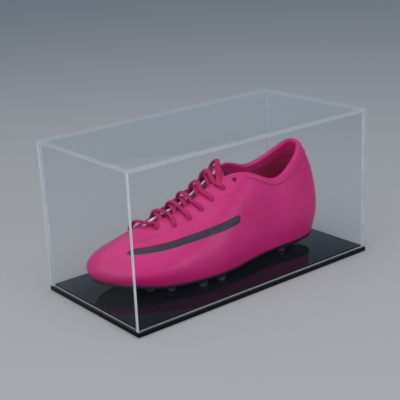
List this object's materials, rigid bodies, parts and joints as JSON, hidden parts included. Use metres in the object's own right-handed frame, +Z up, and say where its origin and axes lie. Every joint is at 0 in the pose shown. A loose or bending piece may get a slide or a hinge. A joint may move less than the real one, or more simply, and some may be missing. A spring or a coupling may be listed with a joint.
{
  "type": "display case",
  "caption": "Clear five-sided lift-off cover on a flat black plinth base, with a laced low-cut football boot standing inside.",
  "frame": {"origin": "centre of the base plate's underside", "axes": "+Z up; +X along the case's long side, from the boot's toe to its heel; +Y from the front panel to the back panel, and the boot's outer side faces -Y"},
  "size_m": [0.3408, 0.1728, 0.178],
  "materials": {
    "black_base": "polished gloss black acrylic sheet",
    "clear_cover": "clear polished acrylic sheet",
    "pink_upper": "satin synthetic leather",
    "collar_binding": "smooth rolled textile",
    "dark_lining": "soft brushed textile",
    "tongue_fabric": "fine mesh with a light sheen",
    "pink_lace": "flat woven lace",
    "black_sole": "moulded semi-matte",
    "black_studs": "moulded, slightly glossy"
  },
  "bodies": {
    "base": {"base_plate": "black_base", "base_plinth": "black_base"},
    "cover": {"cover_front_panel": "clear_cover", "cover_back_panel": "clear_cover", "cover_toe_end_panel": "clear_cover", "cover_heel_end_panel": "clear_cover", "cover_top_panel": "clear_cover"},
    "boot": {"boot_upper": "pink_upper", "boot_heel_lining": "dark_lining", "boot_collar_binding": "collar_binding", "boot_sole_plate": "black_sole", "boot_insole": "dark_lining", "boot_tongue": "tongue_fabric", "boot_lace": "pink_lace", "boot_stud_1": "black_studs", "boot_stud_2": "black_studs", "boot_stud_3": "black_studs", "boot_stud_4": "black_studs", "boot_stud_5": "black_studs", "boot_stud_6": "black_studs", "boot_stud_7": "black_studs", "boot_stud_8": "black_studs", "boot_stud_9": "black_studs", "boot_stud_10": "black_studs", "boot_stud_11": "black_studs", "boot_stud_12": "black_studs", "boot_stud_13": "black_studs", "boot_stud_14": "black_studs"}
  },
  "joints": [
    {"name": "cover_lift", "type": "slide", "parent": "base", "child": "cover", "axis": [0, 0, 1], "range_m": [0, 0.25]},
    {"name": "boot_lift", "type": "slide", "parent": "base", "child": "boot", "axis": [0, 0, 1], "range_m": [0, 0.03]}
  ]
}
